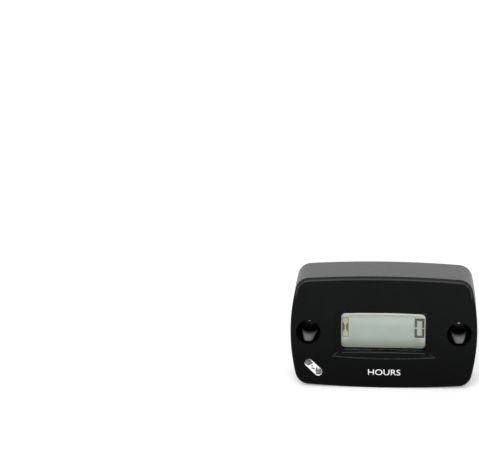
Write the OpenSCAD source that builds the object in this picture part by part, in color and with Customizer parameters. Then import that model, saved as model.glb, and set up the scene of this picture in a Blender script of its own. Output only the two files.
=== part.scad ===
// Sealed engine hour meter with a liquid-crystal display, in millimetres.
// The display faces -Y and +Z is up. The origin is the centre of the mounting face at the back.
// Modules draw in a front view: x to the right, y up, z from the mounting face towards the reader.

/* [Case] */
// Width over the bowed sides
body_w = 50.8; // [46:0.1:58]
// Height over the bowed top and bottom
body_h = 31.5; // [28.5:0.1:38]
// Depth from the mounting face to the front face
body_d = 17; // [15.3:0.1:22]
// How far each side bows out over the full height
side_bow = 2.4; // [1.2:0.1:3.2]
// How far the top and the bottom bow out over the full width
top_bow = 1.07; // [0.5:0.01:2]
// Radius of the outline's corners
corner_r = 3.9; // [3.4:0.1:5]
// Radius of the edge around the front face
front_r = 1.1; // [0.4:0.1:1.6]
// Thickness of the side walls
wall = 1.8; // [1.5:0.1:1.9]
// Thickness of the front wall
front_wall = 2.6; // [2.4:0.1:2.7]

/* [Window] */
// Width of the window opening
window_w = 23.2; // [20:0.1:23.6]
// Height of the window opening
window_h = 10.8; // [9:0.1:11]
// Corner radius of the window opening
window_r = 0.8; // [0.4:0.1:1.5]
// Depth of the sloped recess around the window
recess_depth = 1.6; // [1:0.1:1.8]
// Width of the recess's side slopes
recess_side = 2.2; // [1:0.1:2.6]
// Width of the steep slope under the hood
recess_top = 0.55; // [0.2:0.05:1]
// Width of the slope below the window
recess_low = 1.5; // [0.8:0.1:2]
// Flat shelf between the window and the slope below it
recess_shelf = 0.4; // [0.3:0.05:0.8]
// Outward lean of the side slopes towards the bottom, in degrees
recess_flare = 2.5; // [0:0.1:4]
// Radius of the bowed lower edge of the recess
recess_bow_r = 175; // [120:1:400]

/* [Fixing screws] */
// Distance from the widest point of a side to the screw's axis
hole_edge = 4.9; // [4.7:0.1:5]
// Diameter of the screw hole
hole_d = 3.3; // [2.8:0.1:3.6]
// Diameter of the well for the screw head
well_d = 6.5; // [6:0.1:6.6]
// Thickness of the floor under the screw head
well_floor = 3.3; // [2:0.1:6]
// Wall of the tube around the well
tube_wall = 1.2; // [1:0.1:1.3]

/* [Lead inlet] */
// Distance of the inlet to the right of the middle
inlet_x = 9.5; // [8.8:0.1:10.2]
// Bore for the lead
lead_d = 2.2; // [1.6:0.1:2.3]
// Diameter of the hole in the wall
inlet_d = 3.2; // [3:0.1:3.4]

/* [Display stack] */
// Thickness of the seal in front of the lens
seal_t = 0.2; // [0.1:0.05:0.3]
// Thickness of the lens
lens_t = 1.2; // [1:0.1:1.3]
// Overlap of the lens behind the wall around the window
lens_lap = 1.3; // [1:0.1:1.5]
// Thickness of each glass
glass_t = 0.7; // [0.5:0.1:0.75]
// Thickness of the front polariser
polariser_t = 0.2; // [0.15:0.05:0.3]
// Thickness of the rear polariser with its reflector
reflector_t = 0.3; // [0.2:0.05:0.4]
// Thickness of the frame's lip in front of the glass
lip_t = 0.4; // [0.35:0.05:0.5]
// Length of the connector strips from glass to board
strip_h = 2.9; // [2.7:0.1:3]

/* [Board and cell] */
// Thickness of the circuit board
board_t = 1.2; // [1:0.1:1.3]
// Clearance around the board
board_gap = 0.3; // [0.2:0.05:0.5]
// Diameter of the coin cell
cell_d = 20; // [16:0.5:20]
// Height of the coin cell
cell_h = 3.2; // [2.5:0.1:3.2]
// Thickness of the cell's tabs
tab_t = 0.2; // [0.15:0.05:0.25]
// Clearance between the cell's tab and the card behind it
card_gap = 0.7; // [0.4:0.1:1.5]
// Thickness of the card, with the resin in all that is left behind it
card_t = 0.5; // [0.3:0.1:0.8]

/* [Hidden] */
$fn = 64;
past = 2;
side_steps = 12;
top_steps = 10;
corner_steps = 8;
edge_steps = 5;

// Bowed outline: an arc for each side, for the top and for the bottom, with a tangent arc in each corner
side_r = (body_h * body_h / 4 + side_bow * side_bow) / (2 * side_bow);
top_r = (body_w * body_w / 4 + top_bow * top_bow) / (2 * top_bow);
side_c = [body_w / 2 - side_r, 0];
top_c = [0, body_h / 2 - top_r];
centre_dist = norm(side_c - top_c);
centre_dir = (side_c - top_c) / centre_dist;
reach_top = top_r - corner_r;
reach_side = side_r - corner_r;
reach_along = (reach_top * reach_top - reach_side * reach_side + centre_dist * centre_dist) / (2 * centre_dist);
reach_off = sqrt(reach_top * reach_top - reach_along * reach_along);
corner_c = top_c + centre_dir * reach_along + [centre_dir[1], -centre_dir[0]] * reach_off;
corner_a0 = atan2(corner_c[1] - side_c[1], corner_c[0] - side_c[0]);
corner_a1 = atan2(corner_c[1] - top_c[1], corner_c[0] - top_c[0]);

// Levels above the mounting face
front_in = body_d - front_wall;
recess_z = body_d - recess_depth;
lens_z1 = front_in - seal_t;
lens_z0 = lens_z1 - lens_t;
glass_z1 = lens_z0 - lip_t;
glass_z0 = glass_z1 - glass_t;
rear_glass_z0 = glass_z0 - glass_t;
reflector_z0 = rear_glass_z0 - reflector_t;
board_z1 = glass_z0 - strip_h;
board_z0 = board_z1 - board_t;
card_z1 = board_z0 - 2 * tab_t - cell_h - card_gap;
resin_t = card_z1 - card_t;
inlet_z = (card_z1 + board_z0) / 2;

// Sizes around the window
lens_w = window_w + 2 * lens_lap;
lens_h = window_h + 2 * lens_lap;
lens_r = 1.2;
lens_gap = 0.1;
rim_wall = 1.2;
rim_w = lens_w + 2 * (lens_gap + rim_wall);
rim_h = lens_h + 2 * (lens_gap + rim_wall);
view_side = 0.15;
view_end = 0.6;
view_w = window_w + 2 * view_side;
view_h = window_h + 2 * view_end;
film_gap = 0.1;
glass_side = 0.65;
glass_end = 2.3;
front_glass_w = window_w + 2 * glass_side;
front_glass_h = window_h + 2 * glass_end;
rear_glass_h = window_h + 2 * view_end;
pocket_gap = 0.15;
frame_wall = 0.9;
pocket_w = front_glass_w + 2 * pocket_gap;
pocket_h = front_glass_h + 2 * pocket_gap;
frame_w = pocket_w + 2 * frame_wall;
frame_h = pocket_h + 2 * frame_wall;
strip_gap = 0.1;
strip_end = 1;
strip_w = (front_glass_h - rear_glass_h) / 2 - 2 * strip_gap;
strip_l = front_glass_w - 2 * strip_end;
root = 0.5;

// Slopes of the recess, as width gained for each unit of height
slope_side = recess_side / recess_depth;
slope_top = recess_top / recess_depth;
slope_low = recess_low / recess_depth;
recess_floor_r = recess_bow_r - recess_low;
recess_reach = 40;

// Fixing screws
hole_x = body_w / 2 - hole_edge;
tube_r = well_d / 2 + tube_wall;
tube_gap = 0.25;

// Board posts beside the display's frame, and their screws
board_top = body_h / 2 - wall - board_gap;
post_r = 2;
post_gap = 0.25;
post_edge = 4.65;
post_x = frame_w / 2 + post_gap + post_r;
post_y = board_top - post_edge;
pilot_r = 0.8;
pilot_depth = 3.2;
screw_reach = 2.6;
screw_head_r = 1.7;
screw_head_h = 1;
screw_hole_r = 1.1;
screw_edge = 0.35;
cross_l = 2;
cross_w = 0.4;
cross_depth = 0.5;

// Cell beside the left screw tube and posts, with its tab's foot at the board's upper edge
tab_w = 4;
tab_gap = 0.3;
tab_foot = 1;
tab_edge = 0.5;
tab_reach = 5;
tab_out = 3;
cell_side = 0.5;
cell_left = min(hole_x - tube_r - cell_side, post_x);
cell_x = cell_d / 2 - cell_left;
cell_y = board_top - tab_edge - tab_foot - tab_t - tab_gap - cell_d / 2;
cell_step = 0.3;
cell_rim = 1.4;
cell_bend = 0.4;
cell_edge = 0.3;

// Chip and crystal in a column inside the right posts
chip_side = 1.05;
chip_edge = 4.6;
chip_w = 5.2;
chip_h = 4.4;
chip_t = 1.4;
chip_lift = 0.1;
chip_legs = 7;
leg_pitch = 0.7;
leg_w = 0.28;
leg_t = 0.15;
leg_top = 0.8;
leg_knee = 0.42;
leg_out = 0.95;
chip_x = post_x - screw_head_r - chip_side - chip_w / 2;
chip_y = board_top - chip_edge;
crystal_side = 0.55;
crystal_gap = 0.8;
crystal_r = 1;
crystal_l = 6;
wire_pitch = 0.8;
wire_t = 0.26;
wire_out = 0.9;
crystal_x = post_x - screw_head_r - crystal_side - crystal_r;
crystal_y = chip_y - chip_h / 2 - leg_out - crystal_gap - crystal_l / 2;

// Small parts and the lead's pin along the board's lower edge
part_l = 1.8;
part_w = 1.2;
part_cap_l = 0.4;
part_cap_t = 0.025;
terminal_edge = 3.4;
terminal_r = 1.1;
terminal_neck_r = 0.6;
terminal_head_r = 0.9;
terminal_foot = 0.4;
terminal_h = 2.6;
terminal_head_h = 0.6;
terminal_edge_t = 0.2;
terminal_y = -(board_top - terminal_edge);
capacitor_t = 0.95;
capacitor_pitch = 2.4;
capacitor_gap = 0.9;
capacitor_y = terminal_y + terminal_r + capacitor_gap + part_w / 2;
resistor_t = 0.55;
resistor_pitch = 3.3;
resistor_x = -9;
row_edge = 1.2;
row_y = -(board_top - row_edge);
diode_x = 5;
diode_l = 2.7;
diode_w = 1.6;
diode_t = 1.1;
diode_lift = 0.05;
diode_leg_l = 0.45;
diode_leg_w = 0.6;

// Card, and lead inlet in the lower wall
card_side = 0.1;
inlet_flange = 0.35;
inlet_flange_r = inlet_d / 2 + inlet_flange;
inlet_flange_t = 0.9;
inlet_flush = 0.25;
inlet_seat = 0.08;
inlet_out = body_h / 2 - inlet_x * inlet_x / (2 * top_r);
inlet_in = inlet_out - wall;

// Points of an arc about c, without its last point
function arc(c, r, a0, a1, n) =
    [for (i = [0:n - 1]) c + r * [cos(a0 + (a1 - a0) * i / n), sin(a0 + (a1 - a0) * i / n)]];

// Points of the bowed outline, moved inward by inset
function outline(inset) = concat(
    arc(side_c, side_r - inset, -corner_a0, corner_a0, side_steps),
    arc(corner_c, corner_r - inset, corner_a0, corner_a1, corner_steps),
    arc(top_c, top_r - inset, corner_a1, 180 - corner_a1, top_steps),
    arc([-corner_c[0], corner_c[1]], corner_r - inset, 180 - corner_a1, 180 - corner_a0, corner_steps),
    arc(-side_c, side_r - inset, 180 - corner_a0, 180 + corner_a0, side_steps),
    arc(-corner_c, corner_r - inset, 180 + corner_a0, 180 + corner_a1, corner_steps),
    arc(-top_c, top_r - inset, 180 + corner_a1, 360 - corner_a1, top_steps),
    arc([corner_c[0], -corner_c[1]], corner_r - inset, 360 - corner_a1, 360 - corner_a0, corner_steps)
);

// Turns the front view into the part's own frame
module front_view() {
    rotate([90, 0, 0])
        children();
}

// Flat slab inside the bowed outline
module bowed_slab(inset, z0, z1) {
    translate([0, 0, z0])
        linear_extrude(z1 - z0)
            polygon(outline(inset));
}

// Solid body with its front edge rounded: rings of the outline, joined from back to front
module bowed_body() {
    turns = [for (k = [0:edge_steps]) 90 * k / edge_steps];
    insets = concat([0], [for (t = turns) front_r * (1 - cos(t))]);
    levels = concat([0], [for (t = turns) body_d - front_r * (1 - sin(t))]);
    n = len(outline(0));
    last = len(insets) - 1;
    points = [for (k = [0:last]) for (p = outline(insets[k])) [p[0], p[1], levels[k]]];
    back = [for (i = [0:n - 1]) i];
    front = [for (i = [n - 1:-1:0]) last * n + i];
    bands = [
        for (k = [0:last - 1])
            for (i = [0:n - 1])
                [k * n + i, (k + 1) * n + i, (k + 1) * n + (i + 1) % n, k * n + (i + 1) % n]
    ];
    polyhedron(points, concat([back], bands, [front]), convexity = 2);
}

// Rounded rectangle, as a flat shape
module round_rect(w, h, r) {
    square([w - 2 * r, h], center = true);
    square([w, h - 2 * r], center = true);
    for (sx = [-1, 1], sy = [-1, 1])
        translate([sx * (w / 2 - r), sy * (h / 2 - r)])
            circle(r);
}

// Plate centred on the window
module plate(w, h, z0, z1) {
    translate([-w / 2, -h / 2, z0])
        cube([w, h, z1 - z0]);
}

// Places children at the two fixing screws
module at_holes() {
    for (s = [-1, 1])
        translate([s * hole_x, 0, 0])
            children();
}

// Places children at the four board posts
module at_posts() {
    for (sx = [-1, 1], sy = [-1, 1])
        translate([sx * post_x, sy * post_y, 0])
            children();
}

// Places children on the back of the board, with z away from it
module on_board(x, y) {
    translate([x, y, board_z0])
        mirror([0, 0, 1])
            children();
}

// Space to one side of a recess slope
module side_limit(s) {
    top_z = body_d + past;
    x0 = window_w / 2;
    mirror([s < 0 ? 1 : 0, 0, 0])
        translate([x0, 0, 0])
            rotate([0, 0, recess_flare])
                rotate([90, 0, 0])
                    linear_extrude(2 * recess_reach, center = true)
                        polygon([
                            [-recess_reach, recess_z],
                            [0, recess_z],
                            [slope_side * (top_z - recess_z), top_z],
                            [-recess_reach, top_z]
                        ]);
}

// Space below the steep slope under the hood
module hood_limit() {
    top_z = body_d + past;
    y0 = window_h / 2;
    rotate([90, 0, 90])
        linear_extrude(2 * recess_reach, center = true)
            polygon([
                [-recess_reach, recess_z],
                [y0, recess_z],
                [y0 + slope_top * (top_z - recess_z), top_z],
                [-recess_reach, top_z]
            ]);
}

// Cone whose lower side is the bowed slope below the window
module low_limit() {
    rise = body_d + past - recess_z;
    translate([0, recess_floor_r - window_h / 2 - recess_shelf, recess_z])
        cylinder(r1 = recess_floor_r, r2 = recess_floor_r + slope_low * rise, h = rise, $fn = 256);
}

// Sloped recess around the window, and the opening through its floor
module window_cut() {
    intersection() {
        side_limit(1);
        side_limit(-1);
        hood_limit();
        low_limit();
    }
    translate([0, 0, front_in - past])
        linear_extrude(front_wall + past)
            round_rect(window_w, window_h, window_r);
}

// One moulding: walls, front, screw tubes, board posts and the rim around the lens
module case() {
    color([0.09, 0.09, 0.09])
        front_view()
            difference() {
                union() {
                    difference() {
                        bowed_body();
                        bowed_slab(wall, -past, front_in);
                    }
                    at_holes()
                        cylinder(r = tube_r, h = front_in + root);
                    at_posts()
                        translate([0, 0, board_z1])
                            cylinder(r = post_r, h = front_in + root - board_z1);
                    difference() {
                        plate(rim_w, rim_h, lens_z0, front_in + root);
                        plate(lens_w + 2 * lens_gap, lens_h + 2 * lens_gap, lens_z0 - past, front_in);
                    }
                }
                at_holes() {
                    translate([0, 0, -past])
                        cylinder(d = hole_d, h = body_d + 2 * past);
                    translate([0, 0, well_floor])
                        cylinder(d = well_d, h = body_d);
                }
                at_posts()
                    translate([0, 0, board_z1 - past])
                        cylinder(r = pilot_r, h = pilot_depth + past);
                window_cut();
                translate([inlet_x, -(inlet_in - past), inlet_z])
                    rotate([90, 0, 0])
                        cylinder(d = inlet_d, h = wall + 2 * past);
            }
}

// Clear plate behind the window opening
module window_lens() {
    color([0.85, 0.9, 0.9, 0.4])
        front_view()
            translate([0, 0, lens_z0])
                linear_extrude(lens_t)
                    round_rect(lens_w, lens_h, lens_r);
}

// Adhesive frame between the lens and the front wall
module lens_seal() {
    color([0.15, 0.15, 0.16])
        front_view()
            translate([0, 0, lens_z1])
                linear_extrude(seal_t)
                    difference() {
                        round_rect(lens_w, lens_h, lens_r);
                        round_rect(window_w + 2 * film_gap, window_h + 2 * film_gap, window_r);
                    }
}

module lcd_front_polariser() {
    color([0.7, 0.74, 0.7])
        front_view()
            plate(view_w - 2 * film_gap, view_h - 2 * film_gap, glass_z1, glass_z1 + polariser_t);
}

// Front glass, taller than the rear one so that its contacts lie free at top and bottom
module lcd_front_glass() {
    color([0.8, 0.86, 0.84])
        front_view()
            plate(front_glass_w, front_glass_h, glass_z0, glass_z1);
}

module lcd_rear_glass() {
    color([0.78, 0.84, 0.82])
        front_view()
            plate(front_glass_w, rear_glass_h, rear_glass_z0, glass_z0);
}

module lcd_reflector() {
    color([0.66, 0.7, 0.66])
        front_view()
            plate(front_glass_w - 2 * film_gap, rear_glass_h - 2 * film_gap, reflector_z0, rear_glass_z0);
}

// Frame that holds the display against the lens and stands on the board
module lcd_frame() {
    color([0.2, 0.2, 0.21])
        front_view()
            difference() {
                plate(frame_w, frame_h, board_z1, lens_z0);
                plate(pocket_w, pocket_h, board_z1 - past, glass_z1);
                plate(view_w, view_h, board_z1, lens_z0 + past);
            }
}

// Rubber strips from the free edges of the front glass to the board
module connector_strips() {
    color([0.35, 0.35, 0.37])
        front_view()
            for (s = [-1, 1])
                translate([0, s * (rear_glass_h / 2 + strip_gap + strip_w / 2), 0])
                    plate(strip_l, strip_w, board_z1, glass_z0);
}

// Board cut out around the screw tubes
module circuit_board() {
    color([0.1, 0.35, 0.18])
        front_view()
            difference() {
                bowed_slab(wall + board_gap, board_z0, board_z1);
                at_holes()
                    translate([0, 0, board_z0 - past])
                        cylinder(r = tube_r + tube_gap, h = board_t + 2 * past);
                at_posts()
                    translate([0, 0, board_z0 - past])
                        cylinder(r = screw_hole_r, h = board_t + 2 * past);
            }
}

// Pan-head screws through the board into the posts
module board_screws() {
    color([0.7, 0.7, 0.72])
        front_view()
            at_posts()
                translate([0, 0, board_z0 - screw_head_h])
                    difference() {
                        union() {
                            cylinder(r1 = screw_head_r - screw_edge, r2 = screw_head_r, h = screw_edge);
                            translate([0, 0, screw_edge])
                                cylinder(r = screw_head_r, h = screw_head_h - screw_edge);
                            cylinder(r = pilot_r, h = screw_head_h + board_t + screw_reach);
                        }
                        for (a = [0, 90])
                            rotate([0, 0, a])
                                plate(cross_l, cross_w, -past, cross_depth);
                    }
}

// Moulded chip with a row of bent legs on two sides
module controller_chip() {
    color([0.12, 0.12, 0.13])
        front_view()
            on_board(chip_x, chip_y) {
                plate(chip_w, chip_h, chip_lift, chip_t);
                for (s = [0, 1], i = [0:chip_legs - 1])
                    mirror([0, s, 0])
                        translate([(i - (chip_legs - 1) / 2) * leg_pitch - leg_w / 2, chip_h / 2, 0])
                            rotate([90, 0, 90])
                                linear_extrude(leg_w)
                                    polygon([
                                        [-leg_t, leg_top], [leg_knee, leg_top],
                                        [leg_knee, leg_t], [leg_out, leg_t],
                                        [leg_out, 0], [leg_knee - leg_t, 0],
                                        [leg_knee - leg_t, leg_top - leg_t], [-leg_t, leg_top - leg_t]
                                    ]);
            }
}

// Crystal can that lies on the board, with two wires
module clock_crystal() {
    color([0.75, 0.75, 0.77])
        front_view()
            on_board(crystal_x, crystal_y) {
                translate([0, crystal_l / 2, crystal_r])
                    rotate([90, 0, 0])
                        cylinder(r = crystal_r, h = crystal_l);
                for (s = [-1, 1])
                    translate([s * wire_pitch / 2 - wire_t / 2, -crystal_l / 2 - wire_out, 0]) {
                        translate([0, 0, crystal_r])
                            cube([wire_t, wire_out + wire_t, wire_t]);
                        cube([wire_t, wire_t, crystal_r + wire_t]);
                    }
            }
}

// Block with a metal cap at each end
module chip_part(h) {
    plate(part_l, part_w, part_cap_t, h - part_cap_t);
    for (s = [-1, 1])
        translate([s * (part_l - part_cap_l) / 2 + s * part_cap_t, 0, 0])
            plate(part_cap_l, part_w + 2 * part_cap_t, 0, h);
}

module chip_capacitors() {
    color([0.6, 0.48, 0.32])
        front_view()
            for (i = [0:2])
                on_board(crystal_x - capacitor_pitch * i, capacitor_y)
                    chip_part(capacitor_t);
}

module chip_resistors() {
    color([0.1, 0.1, 0.11])
        front_view()
            for (i = [0:3])
                on_board(resistor_x + resistor_pitch * i, row_y)
                    chip_part(resistor_t);
}

module input_diode() {
    color([0.14, 0.14, 0.15])
        front_view()
            on_board(diode_x, row_y) {
                plate(diode_l, diode_w, diode_lift, diode_t);
                plate(diode_l + 2 * diode_leg_l, diode_leg_w, 0, leg_t);
            }
}

// Lithium coin cell with its stepped cap towards the board
module coin_cell() {
    r = cell_d / 2;
    color([0.74, 0.75, 0.77])
        front_view()
            on_board(cell_x, cell_y)
                translate([0, 0, tab_t])
                    rotate_extrude($fn = 128)
                        polygon([
                            [0, 0], [r - cell_rim, 0], [r - cell_rim, cell_step], [r - cell_bend, cell_step],
                            [r, cell_step + cell_bend], [r, cell_h - cell_edge], [r - cell_edge, cell_h],
                            [0, cell_h]
                        ]);
}

// Strip welded to the top of the cell and bent down to the board
module cell_tab_positive() {
    leg_y = cell_d / 2 + tab_gap;
    lid_z = tab_t + cell_h;
    color([0.7, 0.7, 0.68])
        front_view()
            on_board(cell_x - tab_w / 2, cell_y) {
                translate([0, -tab_reach, lid_z])
                    cube([tab_w, leg_y + tab_reach + tab_t, tab_t]);
                translate([0, leg_y, 0])
                    cube([tab_w, tab_t, lid_z + tab_t]);
                translate([0, leg_y, 0])
                    cube([tab_w, tab_t + tab_foot, tab_t]);
            }
}

// Flat strip between the cell's cap and the board
module cell_tab_negative() {
    color([0.7, 0.7, 0.68])
        front_view()
            on_board(cell_x, cell_y - tab_w / 2)
                translate([-tab_reach, 0, 0])
                    cube([tab_reach + cell_d / 2 + tab_out, tab_w, tab_t]);
}

// Turret pin for the lead
module lead_terminal() {
    head_z = terminal_h - terminal_head_h;
    color([0.8, 0.65, 0.3])
        front_view()
            on_board(inlet_x, terminal_y)
                rotate_extrude()
                    polygon([
                        [0, 0], [terminal_r, 0], [terminal_r, terminal_foot],
                        [terminal_neck_r, terminal_foot], [terminal_neck_r, head_z],
                        [terminal_head_r, head_z], [terminal_head_r, terminal_h - terminal_edge_t],
                        [terminal_head_r - terminal_edge_t, terminal_h], [0, terminal_h]
                    ]);
}

// Rubber bush in the lower wall, with its flange inside
module lead_grommet() {
    length = wall + inlet_flange_t - inlet_flush;
    color([0.13, 0.13, 0.13])
        front_view()
            translate([inlet_x, -(inlet_in - inlet_flange_t), inlet_z])
                rotate([90, 0, 0])
                    difference() {
                        union() {
                            cylinder(d = inlet_d, h = length);
                            cylinder(r = inlet_flange_r, h = inlet_flange_t - inlet_seat);
                        }
                        translate([0, 0, -past])
                            cylinder(d = lead_d, h = length + 2 * past);
                    }
}

// Card that keeps the resin off the board
module barrier_card() {
    color([0.55, 0.45, 0.3])
        front_view()
            difference() {
                bowed_slab(wall + card_side, resin_t, card_z1);
                at_holes()
                    cylinder(r = tube_r + card_side, h = body_d);
            }
}

// Cast filling, flush with the back of the case and of the screw tubes
module potting_resin() {
    color([0.07, 0.07, 0.08])
        front_view()
            difference() {
                bowed_slab(wall, 0, resin_t);
                at_holes()
                    translate([0, 0, -past])
                        cylinder(r = tube_r, h = resin_t + 2 * past);
            }
}

case();
window_lens();
lens_seal();
lcd_front_polariser();
lcd_front_glass();
lcd_rear_glass();
lcd_reflector();
lcd_frame();
connector_strips();
circuit_board();
board_screws();
controller_chip();
clock_crystal();
chip_capacitors();
chip_resistors();
input_diode();
coin_cell();
cell_tab_positive();
cell_tab_negative();
lead_terminal();
lead_grommet();
barrier_card();
potting_resin();
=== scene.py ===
"""Sealed engine hour meter: moulded case, window, display, print and the finishes of every piece."""

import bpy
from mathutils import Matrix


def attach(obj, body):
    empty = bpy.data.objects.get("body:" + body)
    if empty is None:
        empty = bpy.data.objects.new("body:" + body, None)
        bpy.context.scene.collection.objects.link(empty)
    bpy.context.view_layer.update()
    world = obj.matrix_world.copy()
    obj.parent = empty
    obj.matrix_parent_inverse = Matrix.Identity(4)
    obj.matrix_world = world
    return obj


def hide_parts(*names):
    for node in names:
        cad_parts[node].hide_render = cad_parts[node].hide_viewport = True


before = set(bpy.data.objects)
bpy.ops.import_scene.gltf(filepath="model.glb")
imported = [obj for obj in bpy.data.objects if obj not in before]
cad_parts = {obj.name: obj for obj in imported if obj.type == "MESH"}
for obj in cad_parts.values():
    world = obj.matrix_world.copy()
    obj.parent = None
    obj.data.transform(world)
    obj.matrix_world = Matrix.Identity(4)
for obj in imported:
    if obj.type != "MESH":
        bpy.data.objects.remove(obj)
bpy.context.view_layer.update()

import logging
import math
from collections.abc import Callable, Iterator
from contextlib import contextmanager
from dataclasses import dataclass, replace
from enum import Enum

import bmesh
import bpy
from mathutils import Quaternion, Vector

LOG = logging.getLogger("hour_meter")
MM = 0.001
MICRON = 0.000001
UPRIGHT = (math.pi / 2, 0.0, 0.0)
SIDES = (-1, 1)
# Facets around a round shape.
FINE, MEDIUM, COARSE = 96, 48, 32
# Share of a face's normal that points along the depth.
FLAT, SLOPED, LEVEL, STEEP, WALL = 0.99, 0.98, 0.9, 0.5, 0.1
# Share of the normal of the hood of the recess that points up.
DOWN = -0.3
# Slack of a comparison, in mm.
SLACK = 0.01
# Parts of the noise that carry the colour's patches and the grain.
PATCHES, GRAINS = (0.35, 0.65), (0.3, 0.7)

Pair = tuple[float, float]
Point = tuple[float, float, float]
Colour = tuple[float, float, float]
Piece = bpy.types.Object
Edge = bmesh.types.BMEdge
Face = bmesh.types.BMFace
Socket = bpy.types.NodeSocket
Sockets = bpy.types.bpy_prop_collection
Value = Socket | float | Colour


def spot(x: float, z: float, depth: float) -> Point:
    """Turns a front-view point and its depth from the mounting face, in mm, into a point in metres."""
    return (x * MM, -depth * MM, z * MM)


class Pick(Enum):
    """Kinds of mesh element that an edit selects."""

    VERT = "verts"
    EDGE = "edges"
    FACE = "faces"


class Cut(Enum):
    """Ways in which one solid shapes another."""

    ADD = "UNION"
    REMOVE = "DIFFERENCE"
    MEET = "INTERSECT"


class Run(Enum):
    """Directions in which the grain of a finish runs, as a scale of its pattern along X, Y and Z."""

    EVEN = (1.0, 1.0, 1.0)
    ALONG_X = (0.05, 1.0, 1.0)
    ALONG_Z = (1.0, 1.0, 0.05)


class Bench:
    """Hand tools: adding, editing, cutting and finishing meshes with Blender's own operators."""

    @staticmethod
    def clear() -> None:
        """Leaves edit mode and deselects everything."""
        if bpy.context.object and bpy.context.object.mode != "OBJECT":
            bpy.ops.object.mode_set(mode="OBJECT")
        bpy.ops.object.select_all(action="DESELECT")

    @staticmethod
    def hold(piece: Piece) -> None:
        """Makes one piece the only selected and active object."""
        Bench.clear()
        piece.select_set(True)
        bpy.context.view_layer.objects.active = piece

    @staticmethod
    def take(name: str) -> Piece:
        """Names the primitive that was just added and places its transform in its mesh.

        Args:
            name: The piece's name.

        Returns:
            The active object.
        """
        piece = bpy.context.object
        piece.name = name
        piece.data.name = name
        bpy.ops.object.transform_apply(location=True, rotation=True, scale=True)
        return piece

    @staticmethod
    def block(name: str, size: Point, centre: Point) -> Piece:
        """Adds a block.

        Args:
            name: The piece's name.
            size: Its lengths along X, Y and Z, in metres.
            centre: Its centre, in metres.

        Returns:
            The block, with its place in its mesh.
        """
        Bench.clear()
        bpy.ops.mesh.primitive_cube_add(size=1.0, location=centre, scale=size)
        return Bench.take(name)

    @staticmethod
    def rod(name: str, radius: float, start: Point, end: Point, sides: int = FINE) -> Piece:
        """Adds a round rod.

        Args:
            name: The piece's name.
            radius: Its radius, in metres.
            start: Centre of its first end.
            end: Centre of its other end.
            sides: Number of facets around it.

        Returns:
            The rod, with its place in its mesh.
        """
        Bench.clear()
        run = Vector(end) - Vector(start)
        bpy.ops.mesh.primitive_cylinder_add(
            vertices=sides,
            radius=radius,
            depth=run.length,
            location=(Vector(start) + Vector(end)) / 2,
            rotation=run.to_track_quat("Z", "Y").to_euler(),
        )
        return Bench.take(name)

    @staticmethod
    def sheet(name: str, size: Pair, centre: Point) -> Piece:
        """Adds a flat rectangle that faces the reader.

        Args:
            name: The piece's name.
            size: Its lengths along X and Z, in metres.
            centre: Its centre, in metres.

        Returns:
            The rectangle, with its place in its mesh.
        """
        Bench.clear()
        bpy.ops.mesh.primitive_plane_add(size=1.0, location=centre, rotation=UPRIGHT)
        bpy.context.object.scale = (*size, 1.0)
        return Bench.take(name)

    @staticmethod
    def disc(name: str, radius: float, centre: Point, sides: int) -> Piece:
        """Adds a flat disc that faces the reader.

        Args:
            name: The piece's name.
            radius: Its radius, in metres.
            centre: Its centre, in metres.
            sides: Number of points around it.

        Returns:
            The disc, with its place in its mesh.
        """
        Bench.clear()
        bpy.ops.mesh.primitive_circle_add(
            vertices=sides, radius=radius, fill_type="NGON", location=centre, rotation=UPRIGHT
        )
        return Bench.take(name)

    @staticmethod
    @contextmanager
    def editing(piece: Piece, pick: Pick = Pick.FACE) -> Iterator[None]:
        """Holds a piece in edit mode while its elements are shaped.

        Args:
            piece: The piece to edit.
            pick: The kind of element that the edit selects.

        Yields:
            Nothing; the operators act on the piece.
        """
        Bench.hold(piece)
        bpy.ops.object.mode_set(mode="EDIT")
        bpy.ops.mesh.select_mode(type=pick.name)
        yield
        bpy.ops.object.mode_set(mode="OBJECT")

    @staticmethod
    def every() -> None:
        """Selects everything in edit mode."""
        bpy.ops.mesh.select_all(action="SELECT")

    @staticmethod
    def pick(piece: Piece, kind: Pick, test: Callable[..., bool]) -> int:
        """Selects the elements of a piece in edit mode that pass a test.

        Args:
            piece: The piece being edited.
            kind: Which elements are tested.
            test: Says whether an element is selected.

        Returns:
            How many elements were selected.
        """
        bpy.ops.mesh.select_all(action="DESELECT")
        mesh = bmesh.from_edit_mesh(piece.data)
        chosen = [element for element in getattr(mesh, kind.value) if test(element)]
        for element in chosen:
            element.select_set(True)
        mesh.select_flush_mode()
        bmesh.update_edit_mesh(piece.data)
        return len(chosen)

    @staticmethod
    def pull(length: float) -> None:
        """Extrudes what is selected in edit mode along Y, by a length in mm."""
        bpy.ops.mesh.extrude_region_move(TRANSFORM_OT_translate={"value": (0.0, length * MM, 0.0)})

    @staticmethod
    def turn(degrees: float, centre: Point) -> None:
        """Turns everything in edit mode about an axis along Y."""
        Bench.every()
        bpy.ops.transform.rotate(value=math.radians(degrees), orient_axis="Y", center_override=centre)

    @staticmethod
    def trim(point: Point, normal: Point, fill: bool = False) -> None:
        """Takes away the side of a plane that its normal points to in edit mode, and closes the cut if asked."""
        Bench.every()
        bpy.ops.mesh.bisect(
            plane_co=point, plane_no=normal, clear_outer=True, use_fill=fill, threshold=0.1 * MICRON
        )

    @staticmethod
    def hollow(thickness: float) -> None:
        """Leaves a flat piece in edit mode as a frame or ring, of a width in mm."""
        Bench.every()
        bpy.ops.mesh.inset(thickness=thickness * MM)
        bpy.ops.mesh.delete(type="FACE")

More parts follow.
